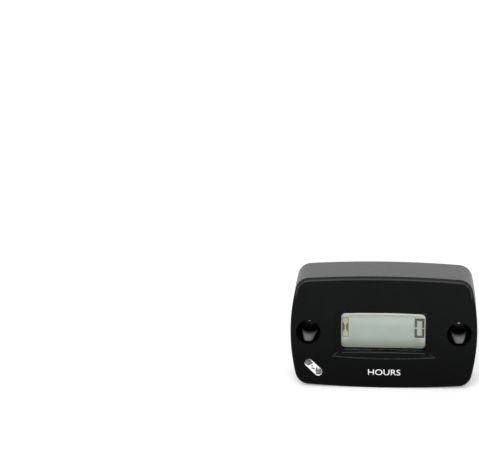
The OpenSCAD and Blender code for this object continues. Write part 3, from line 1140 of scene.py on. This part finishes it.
    def recess_tool(self) -> Piece:
        """Makes the solid that cuts the sloped recess: a shallow cone, bisected by the hood and the sides.

        Returns:
            The cutting solid.
        """
        top = self.depth + self.past
        rise, full = top - self.recess_depth, self.solid_depth - self.recess_depth
        floor_r = self.recess_bow_r - self.recess_low
        mouth_r = floor_r + self.recess_low / full * rise
        centre_z = floor_r - self.window_h / 2 - self.recess_shelf
        Bench.clear()
        bpy.ops.mesh.primitive_cone_add(
            vertices=720,
            radius1=floor_r * MM,
            radius2=mouth_r * MM,
            depth=rise * MM,
            location=spot(0, centre_z, (self.recess_depth + top) / 2),
            rotation=UPRIGHT,
        )
        tool = Bench.take("recess_tool")
        lean = math.radians(self.recess_flare)
        planes = [(0, self.window_h / 2, Vector((0.0, self.recess_top, full)))]
        for side in SIDES:
            normal = Vector((side * full * math.cos(lean), self.recess_side, full * math.sin(lean)))
            planes.append((side * self.window_w / 2, 0, normal))
        with Bench.editing(tool):
            for x, z, normal in planes:
                Bench.trim(spot(x, z, self.recess_depth), normal.normalized(), fill=True)
        Bench.clean(tool)
        return tool

    def opening_tool(self) -> Piece:
        """Makes the solid that cuts the window opening, with rounded corners.

        Returns:
            The cutting solid.
        """
        tool = self.slab(self.window_w, self.window_h, self.inner_depth - self.past, self.depth + self.past)
        with Bench.editing(tool, Pick.EDGE):
            Bench.pick(tool, Pick.EDGE, lambda e: abs(e.verts[0].co.y - e.verts[1].co.y) > MM)
            bpy.ops.mesh.bevel(offset=self.window_r * MM, segments=6, affect="EDGES")
        return tool

    def cut_openings(self, body: Piece) -> None:
        """Cuts the screw wells and holes, the pilot holes, the window and the lead inlet.

        Args:
            body: The box with its tubes and posts.
        """
        low, high = self.post_foot - self.past, self.post_foot + self.pilot_depth
        for side in SIDES:
            for radius, floor in ((self.well_r, self.well_floor), (self.hole_r, -self.past)):
                self.pin(body, Cut.REMOVE, radius, (side * self.hole_x, 0), floor, self.depth + self.past)
            for at in self.posts(side):
                self.pin(body, Cut.REMOVE, self.pilot_r, at, low, high, COARSE)
        Bench.cut(body, self.recess_tool(), Cut.REMOVE)
        Bench.cut(body, self.opening_tool(), Cut.REMOVE)
        foot = -self.height / 2
        levels = (foot - self.past, foot + self.wall + self.past)
        ends = [spot(self.inlet_x, z, self.inlet_depth) for z in levels]
        Bench.cut(body, Bench.rod("inlet", self.inlet_r * MM, *ends, MEDIUM), Cut.REMOVE)

    def round_rims(self, body: Piece) -> None:
        """Rounds the edges of the wells, holes, recess and window, as a mould leaves them.

        Args:
            body: The box with its openings.
        """
        with Bench.editing(body, Pick.EDGE):
            for test, size, steps in (
                (self.is_well_rim, self.well_edge, 5),
                (self.is_hole_rim, self.hole_edge, 5),
                (self.is_lip, self.lip_edge, 3),
                (self.is_sill, self.sill_edge, 3),
            ):
                count = Bench.pick(body, Pick.EDGE, test)
                bpy.ops.mesh.bevel(offset=size * MM, segments=steps, affect="EDGES", clamp_overlap=True)
                LOG.info("case_shell: %d rim edges rounded", count)

    @staticmethod
    def lies_at(edge: Edge, depth: float) -> bool:
        """Says whether both ends of an edge lie at a depth."""
        return all(abs(vert.co.y + depth * MM) < MICRON for vert in edge.verts)

    @staticmethod
    def middle(edge: Edge) -> Vector:
        """Gives the middle of an edge."""
        return (edge.verts[0].co + edge.verts[1].co) / 2

    def across(self, point: Vector) -> float:
        """Gives a point's distance from the axis of the nearer screw well, in mm."""
        return math.hypot(abs(point.x) / MM - self.hole_x, point.z / MM)

    def is_face_rim(self, edge: Edge) -> bool:
        """Says whether an edge lies between the front face and a wall that goes down from it."""
        if len(edge.link_faces) != 2 or not self.lies_at(edge, self.depth):
            return False
        slopes = sorted(face.normal.y for face in edge.link_faces)
        return slopes[0] < -FLAT and slopes[1] > -SLOPED

    def is_well_rim(self, edge: Edge) -> bool:
        """Says whether an edge runs around a screw well at the front face."""
        return self.across(self.middle(edge)) < self.well_r + self.near and self.is_face_rim(edge)

    def is_hole_rim(self, edge: Edge) -> bool:
        """Says whether an edge runs around a screw hole at the mounting face."""
        return self.across(self.middle(edge)) < self.hole_r + self.near and self.lies_at(edge, 0.0)

    def is_lip(self, edge: Edge) -> bool:
        """Says whether an edge runs along the sides or the lower lip of the recess at the front face."""
        middle = self.middle(edge)
        inside = abs(middle.x) < self.lip_x * MM and self.lip_low * MM < middle.z < self.window_h / 2 * MM
        return inside and self.is_face_rim(edge)

    def is_sill(self, edge: Edge) -> bool:
        """Says whether an edge runs along the lower side of the window at the floor of the recess."""
        if len(edge.link_faces) != 2 or not self.lies_at(edge, self.recess_depth):
            return False
        if max(vert.co.z for vert in edge.verts) > (self.window_r - self.window_h / 2 + SLACK) * MM:
            return False
        slopes = sorted(abs(face.normal.y) for face in edge.link_faces)
        return slopes[0] < WALL and slopes[1] > LEVEL

    def is_well(self, face: Face) -> bool:
        """Says whether a face belongs to the wall of a screw well."""
        return self.is_bore(face, self.well_r)

    def is_bore(self, face: Face, radius: float) -> bool:
        """Says whether a face belongs to a wall around a well's axis, at a radius or within it."""
        across = self.across(face.calc_center_median())
        return across < radius + self.near / 2 and abs(face.normal.y) < STEEP

    def is_dark(self, face: Face) -> bool:
        """Says whether a face is dull: the wall of a screw hole, the rim of a well or the hood of the recess."""
        middle, top = face.calc_center_median(), self.window_h / 2
        depth = -middle.y / MM
        rim = self.across(middle) < self.well_r + self.well_edge and depth > self.depth - self.well_edge
        above = top * MM < middle.z < (top + 2 * self.recess_top) * MM and abs(middle.x) < self.window_w * MM
        hood = above and depth > self.recess_depth and face.normal.z < DOWN
        return self.is_bore(face, self.hole_r) or rim or hood

    def build(self) -> Piece:
        """Builds the case in place of its plain solid.

        Returns:
            The finished piece.
        """
        body = self.body()
        self.add_inside(body)
        self.cut_openings(body)
        Bench.clean(body)
        self.round_rims(body)
        Bench.clean(body)
        Bench.smooth(body)
        fit(body, CASE_BLACK, "case_plastic")
        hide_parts("case")
        for finish, test in ((WELL_BLACK, self.is_well), (BORE_BLACK, self.is_dark)):
            body.data.materials.append(finish.material())
            with Bench.editing(body):
                Bench.pick(body, Pick.FACE, test)
                body.active_material_index = len(body.data.materials) - 1
                bpy.ops.object.material_slot_assign()
        return body


@dataclass
class DisplayMarks:
    """Dark figures in the display, a film's thickness in front of its polariser. Sizes are in mm."""

    film_depth: float = 12.8
    film_t: float = 0.02
    digit_left: float = 8.39
    digit_right: float = 11.07
    digit_low: float = -2.31
    digit_high: float = 3.16
    stroke: float = 0.66
    gap: float = 0.03
    split_left: float = 0.4
    split_right: float = 0.15
    icon_left: float = -11.36
    icon_right: float = -9.62
    icon_low: float = -2.26
    icon_high: float = 3.19
    icon_line: float = 0.16
    bulge: float = 0.56
    bulge_h: float = 2.8
    bulge_gap: float = 0.01
    border_w: float = 23.4
    border_low: float = -5.95
    border_high: float = 5.75
    border_depth: float = 12.99
    view_x: float = -0.16
    view_half: float = 11.45
    view_low: float = -5.2
    view_high: float = 4.32
    view_arch: float = 0.29
    view_r: float = 1.05
    view_over: float = 0.5
    view_steps: float = 5.9

    def sheet(self, left: float, right: float, low: float, high: float) -> Piece:
        """Adds a flat sheet on the polariser, between its left, right, lower and upper edges."""
        size = ((right - left) * MM, (high - low) * MM)
        return Bench.sheet("sheet", size, spot((left + right) / 2, (low + high) / 2, self.film_depth))

    def bar(self, left: float, right: float, low: float, high: float, inward: Point, hold: float) -> Piece:
        """Makes one segment of the figure, mitred on its inner side.

        Args:
            left: Its left edge.
            right: Its right edge.
            low: Its lower edge.
            high: Its upper edge.
            inward: Direction of its inner side.
            hold: Height that stays when the inner side of an upright segment is shortened.

        Returns:
            The segment.
        """
        bar = self.sheet(left, right, low, high)
        middle = Vector(spot((left + right) / 2, (low + high) / 2, self.film_depth))
        wide, tall = right - left, high - low
        grow = (1.0, 1.0, (tall - self.stroke) / tall) if inward[0] else ((wide - 2 * self.stroke) / wide, 1.0, 1.0)
        with Bench.editing(bar, Pick.VERT):
            Bench.pick(bar, Pick.VERT, lambda v: (v.co - middle).dot(Vector(inward)) > 0)
            bpy.ops.transform.resize(value=grow, center_override=(middle.x, middle.y, hold * MM))
        return bar

    def digit(self) -> Piece:
        """Makes the lit figure from six segments with small gaps between them.

        Returns:
            The figure.
        """
        left, right = self.digit_left, self.digit_right
        low, high = self.digit_low, self.digit_high
        middle, gap, stroke = (low + high) / 2, self.gap / 2, self.stroke
        bars = [
            self.bar(left + gap, right - gap, high - stroke, high, (0, 0, -1), high),
            self.bar(left + gap, right - gap, low, low + stroke, (0, 0, 1), low),
        ]
        for start, split, inward in (
            (left, self.split_left / 2, (1, 0, 0)),
            (right - stroke, self.split_right / 2, (-1, 0, 0)),
        ):
            for foot, head, hold in (
                (middle + split, high - gap, middle + split),
                (low + gap, middle - split, middle - split),
            ):
                bars.append(self.bar(start, start + stroke, foot, head, inward, hold))
        digit = Bench.join("digit_segments", bars)
        Bench.thicken(digit, self.film_t)
        return digit

    def icon(self) -> Piece:
        """Makes the hourglass sign: a thin frame with a bulge from each side.

        Returns:
            The sign.
        """
        parts = [self.sheet(self.icon_left, self.icon_right, self.icon_low, self.icon_high)]
        with Bench.editing(parts[0]):
            Bench.hollow(self.icon_line)
        radius = (self.bulge_h**2 / 4 + self.bulge**2) / (2 * self.bulge)
        middle = (self.icon_low + self.icon_high) / 2
        inset = self.icon_line + self.bulge_gap
        for edge, side in ((self.icon_left + inset, -1), (self.icon_right - inset, 1)):
            centre = spot(edge + side * (radius - self.bulge), middle, self.film_depth)
            bulge = Bench.disc("bulge", radius * MM, centre, FINE)
            with Bench.editing(bulge):
                Bench.trim((edge * MM, 0.0, 0.0), (side, 0.0, 0.0))
            parts.append(bulge)
        icon = Bench.join("hourglass_icon", parts)
        Bench.thicken(icon, self.film_t)
        return icon

    def border(self) -> Piece:
        """Makes the black border behind the window; the part that shows has an arched top and round corners.

        Returns:
            The border.
        """
        depth = self.border_depth - self.film_t / 2
        border = Bench.block(
            "lens_border",
            (self.border_w * MM, self.film_t * MM, (self.border_high - self.border_low) * MM),
            spot(0.0, (self.border_low + self.border_high) / 2, depth),
        )
        low, top = self.view_low, self.view_high + self.view_arch
        head = top + self.view_over
        size = (2 * self.view_half * MM, MM, (head - low) * MM)
        tool = Bench.block("view_tool", size, spot(self.view_x, (head + low) / 2, depth))
        radius = (self.view_half**2 + self.view_arch**2) / (2 * self.view_arch)
        centre = Vector(spot(self.view_x, top - radius, depth))
        out = Vector((0.0, MM, 0.0))
        sides = 4 * round(self.view_steps * math.pi * radius / (2 * self.view_half))
        Bench.cut(tool, Bench.rod("arc_tool", radius * MM, centre - out, centre + out, sides), Cut.MEET)
        with Bench.editing(tool, Pick.EDGE):
            Bench.pick(tool, Pick.EDGE, self.is_corner)
            bpy.ops.mesh.bevel(offset=self.view_r * MM, segments=8, affect="EDGES")
        Bench.clean(tool)
        Bench.cut(border, tool, Cut.REMOVE)
        Bench.clean(border)
        return border

    def is_corner(self, edge: Edge) -> bool:
        """Says whether an edge runs through the thickness at a corner of the part that shows."""
        first, second = (vert.co for vert in edge.verts)
        aside = abs(first.x - self.view_x * MM)
        return abs(first.y - second.y) > 0.5 * MM and aside > (self.view_half - SLACK) * MM

    def build(self) -> list[Piece]:
        """Builds the figures and the border and dresses them.

        Returns:
            The finished pieces.
        """
        pieces = [self.digit(), self.icon(), self.border()]
        finishes = (SEGMENT_GREY, ICON_GREY, BORDER_BLACK)
        for piece, finish, slot in zip(pieces, finishes, ("polariser_film", "polariser_film", "seal_film")):
            fit(piece, finish, slot)
        return pieces


Mark = tuple[float, float, float, float, float]

# Centre along the sign, outer radius, line, side that is kept and where it starts.
SIGN_ARCS: tuple[Mark, ...] = (
    (-2.05, 0.9, 0.4, -1.0, 0.05),
    (1.55, 0.95, 0.42, 1.0, 0.05),
)
# Middle along and across the sign, length, width and turn in degrees.
SIGN_STROKES: tuple[Mark, ...] = (
    (-1.35, 0.05, 1.75, 0.42, 72.0),
    (-1.95, 0.45, 0.8, 0.36, -20.0),
    (-0.6, 0.05, 0.55, 0.45, 100.0),
    (0.15, -0.3, 0.95, 0.38, 22.0),
    (1.0, 0.12, 1.3, 0.42, -55.0),
)
SIGN_TONES: tuple[Mark, ...] = (
    (-1.95, 0.1, 1.6, 1.9, 0.0),
    (1.9, 0.2, 1.7, 1.75, 0.0),
)


@dataclass
class FacePrint:
    """White print on the front face: the unit and a plain ignition sign. Sizes are in mm."""

    face_depth: float = 16.98
    ink_t: float = 0.018
    sign_ink: float = 0.6
    tone_ink: float = 0.8
    word: str = "HOURS"
    word_left: float = -4.12
    word_right: float = 4.7
    word_low: float = -11.9
    word_high: float = -10.27
    word_bold: float = 0.002
    sign_x: float = -19.0
    sign_z: float = -9.99
    sign_l: float = 5.7
    sign_w: float = 2.2
    sign_round: float = 0.46
    sign_turn: float = -44.0
    mark_round: float = 0.45

    def on_sign(self, x: float = 0.0, z: float = 0.0) -> Point:
        """Gives a point of the sign before it is turned, from its middle, in metres."""
        return spot(self.sign_x + x, self.sign_z + z, self.face_depth)

    def lettering(self) -> Piece:
        """Sets the unit in plain capitals and fits it to its place.

        Returns:
            The printed word.
        """
        Bench.clear()
        bpy.ops.object.text_add(rotation=UPRIGHT)
        text = bpy.context.object
        text.data.body = self.word
        text.data.offset = self.word_bold
        text.data.resolution_u = 6
        bpy.ops.object.convert(target="MESH")
        word = Bench.take("hours_word")
        xs = [vert.co.x for vert in word.data.vertices]
        zs = [vert.co.z for vert in word.data.vertices]
        left, low = min(xs), min(zs)
        grow_x = (self.word_right - self.word_left) * MM / (max(xs) - left)
        grow_z = (self.word_high - self.word_low) * MM / (max(zs) - low)
        with Bench.editing(word):
            Bench.every()
            bpy.ops.transform.resize(value=(grow_x, 1.0, grow_z), center_override=(left, 0.0, low))
            bpy.ops.transform.translate(
                value=(self.word_left * MM - left, -self.face_depth * MM, self.word_low * MM - low)
            )
        Bench.thicken(word, self.ink_t)
        return word

    def stroke(self, x: float, z: float, length: float, width: float, turn: float) -> Piece:
        """Makes one straight mark with rounded ends.

        Args:
            x: Its middle along the sign.
            z: Its middle across the sign.
            length: Its length.
            width: Its width.
            turn: Its turn against the sign, in degrees.

        Returns:
            The mark.
        """
        mark = Bench.sheet("stroke", (length * MM, width * MM), self.on_sign(x, z))
        with Bench.editing(mark, Pick.VERT):
            Bench.every()
            bpy.ops.mesh.bevel(offset=self.mark_round * width * MM, segments=4, affect="VERTICES")
            Bench.turn(turn, self.on_sign(x, z))
        return mark

    def arc(self, x: float, radius: float, line: float, side: float, keep: float) -> Piece:
        """Makes one curved mark, a part of a ring.

        Args:
            x: Centre of the ring along the sign.
            radius: Outer radius of the ring.
            line: Width of the ring.
            side: Side of the ring that is kept, -1 or 1 along the sign.
            keep: How far from the centre the kept part starts.

        Returns:
            The mark.
        """
        ring = Bench.disc("arc", radius * MM, self.on_sign(x), MEDIUM)
        with Bench.editing(ring):
            Bench.hollow(line)
            Bench.trim(((self.sign_x + x + side * keep) * MM, 0.0, 0.0), (-side, 0.0, 0.0))
        return ring

    def sign(self) -> Piece:
        """Makes the sign's body, a bar with rounded ends.

        Returns:
            The bar.
        """
        bar = Bench.sheet("plug_sign", (self.sign_l * MM, self.sign_w * MM), self.on_sign())
        with Bench.editing(bar, Pick.VERT):
            Bench.every()
            bpy.ops.mesh.bevel(offset=self.sign_round * self.sign_w * MM, segments=8, affect="VERTICES")
        return bar

    def printed(self, piece: Piece, share: float = 1.0) -> Piece:
        """Turns a part of the sign about the sign's middle and gives it a share of the ink's thickness.

        Args:
            piece: The flat part.
            share: The share.

        Returns:
            The printed part.
        """
        with Bench.editing(piece):
            Bench.turn(self.sign_turn, self.on_sign())
        Bench.thicken(piece, share * self.ink_t)
        return piece

    def build(self) -> list[Piece]:
        """Builds the word and the sign, with the grey grounds and the dark marks at its ends, and dresses them.

        Returns:
            The finished pieces.
        """
        word, sign = self.lettering(), self.printed(self.sign(), self.sign_ink)
        tones = Bench.join("plug_sign_tones", [self.stroke(*mark) for mark in SIGN_TONES])
        self.printed(tones, self.tone_ink)
        arcs, strokes = [self.arc(*mark) for mark in SIGN_ARCS], [self.stroke(*mark) for mark in SIGN_STROKES]
        pieces = [word, sign, tones, self.printed(Bench.join("plug_sign_marks", arcs + strokes))]
        for piece, finish in zip(pieces, (PRINT_WHITE, PRINT_WHITE, PRINT_GREY, PRINT_DARK)):
            fit(piece, finish, "case_plastic")
        return pieces


# Name, place, width and height in metres, and power in watts of each lamp.
LAMPS: tuple[tuple[str, Point, Pair, float], ...] = (
    ("key_box", (-0.08, -0.66, 0.42), (0.5, 0.14), 4.6),
    ("front_box", (0.0, -0.95, 0.2), (0.9, 0.4), 2.6),
    ("top_box", (0.0, 0.05, 0.85), (0.7, 0.7), 1.6),
    ("back_box", (0.0, 0.9, 0.3), (1.4, 0.4), 1.8),
)


@dataclass
class Studio:
    """Camera, pale floor, soft lamps and a white surround. Lengths are in metres, angles in degrees."""

    camera_at: Point = (0.007802, -0.645275, 0.187223)
    yaw: float = -4.269
    pitch: float = 14.09
    roll: float = -0.263
    lens: float = 180.97
    floor_z: float = -0.01575
    floor_w: float = 12.0
    pale: Colour = (0.86, 0.86, 0.86)
    white: Colour = (1.0, 1.0, 1.0)
    glow: tuple[float, float, float, float] = (0.1, 0.5, 0.35, 1.0)
    fill: float = 0.3

    def camera(self) -> None:
        """Sets the camera where the photograph was taken from."""
        yaw, pitch = math.radians(self.yaw), math.radians(self.pitch)
        level = math.cos(pitch)
        ahead = Vector((math.sin(yaw) * level, math.cos(yaw) * level, -math.sin(pitch)))
        turn = ahead.to_track_quat("-Z", "Y") @ Quaternion((0.0, 0.0, 1.0), math.radians(self.roll))
        Bench.clear()
        bpy.ops.object.camera_add(location=self.camera_at, rotation=turn.to_euler())
        camera = bpy.context.object
        camera.data.lens = self.lens
        camera.data.sensor_width = 36.0
        camera.data.clip_start, camera.data.clip_end = 0.01, 20.0
        bpy.context.scene.camera = camera

    @staticmethod
    def seen_directly(nodes: Nodes) -> Socket:
        """Tells rays that show the surround, directly or in gloss and glass, from rays that light.

        Args:
            nodes: The nodes of the floor or of the world.

        Returns:
            One for rays that show the surround.
        """
        path = nodes.add("LightPath").outputs
        gloss = nodes.math("MAXIMUM", path["Is Camera Ray"], path["Is Glossy Ray"])
        return nodes.math("MAXIMUM", gloss, path["Is Transmission Ray"])

    def floor(self) -> None:
        """Lays the pale floor, white where nothing shades it."""
        Bench.clear()
        bpy.ops.mesh.primitive_plane_add(size=self.floor_w, location=(0.0, 0.0, self.floor_z))
        floor = Bench.take("floor")
        material, nodes, shader = Nodes.start("pale_floor")
        nodes.feed(shader["Base Color"], self.pale)
        nodes.feed(shader["Roughness"], 0.9)
        nodes.feed(shader["Specular IOR Level"], 0.0)
        nodes.feed(shader["Emission Color"], self.white)
        reach = nodes.add("VectorMath", operation="LENGTH")
        nodes.feed(reach.inputs[0], nodes.place())
        glow = nodes.spread(reach.outputs["Value"], *self.glow)
        nodes.feed(shader["Emission Strength"], nodes.product(glow, self.seen_directly(nodes)))
        floor.data.materials.append(material)

    def surround(self) -> None:
        """Makes the world white where it shows and a soft fill where it lights."""
        world = bpy.context.scene.world or bpy.data.worlds.new("surround")
        bpy.context.scene.world = world
        world.use_nodes = True
        nodes = Nodes(world.node_tree)
        mix = nodes.add("MixShader")
        nodes.feed(mix.inputs[0], self.seen_directly(nodes))
        lit, shown = nodes.add("Background"), world.node_tree.nodes["Background"]
        for index, (light, strength) in enumerate(((lit, self.fill), (shown, 1.0)), start=1):
            nodes.feed(light.inputs["Color"], self.white)
            nodes.feed(light.inputs["Strength"], strength)
            nodes.feed(mix.inputs[index], light.outputs[0])
        nodes.feed(world.node_tree.nodes["World Output"].inputs["Surface"], mix.outputs[0])

    @staticmethod
    def lamp(name: str, at: Point, size: Pair, watts: float) -> None:
        """Hangs a soft box that faces the object.

        Args:
            name: The lamp's name.
            at: Its place.
            size: Its width and height.
            watts: Its power.
        """
        Bench.clear()
        aim = -Vector(at)
        bpy.ops.object.light_add(type="AREA", location=at, rotation=aim.to_track_quat("-Z", "Y").to_euler())
        lamp = bpy.context.object
        lamp.name = name
        lamp.data.shape = "RECTANGLE"
        lamp.data.size, lamp.data.size_y = size
        lamp.data.energy = watts

    def build(self) -> None:
        """Builds the whole set."""
        self.camera()
        self.floor()
        self.surround()
        for lamp in LAMPS:
            self.lamp(*lamp)
        bpy.context.scene.view_settings.view_transform = "Standard"


def dress_nodes() -> None:
    """Gives every plain solid that stays its own finish."""
    for name, finish in NODE_FINISHES.items():
        finish.dress(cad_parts[name])
        LOG.info("%s: finish %s", name, finish.name)


def main() -> None:
    """Builds the set, the case, the display's figures and the print, and dresses the rest."""
    logging.basicConfig(level=logging.INFO, format="%(message)s")
    Studio().build()
    dress_nodes()
    pieces = [CaseShell().build(), *DisplayMarks().build(), *FacePrint().build()]
    for piece in pieces:
        LOG.info("%s: %d faces", piece.name, len(piece.data.polygons))
    Bench.clear()


if __name__ == "__main__":
    main()
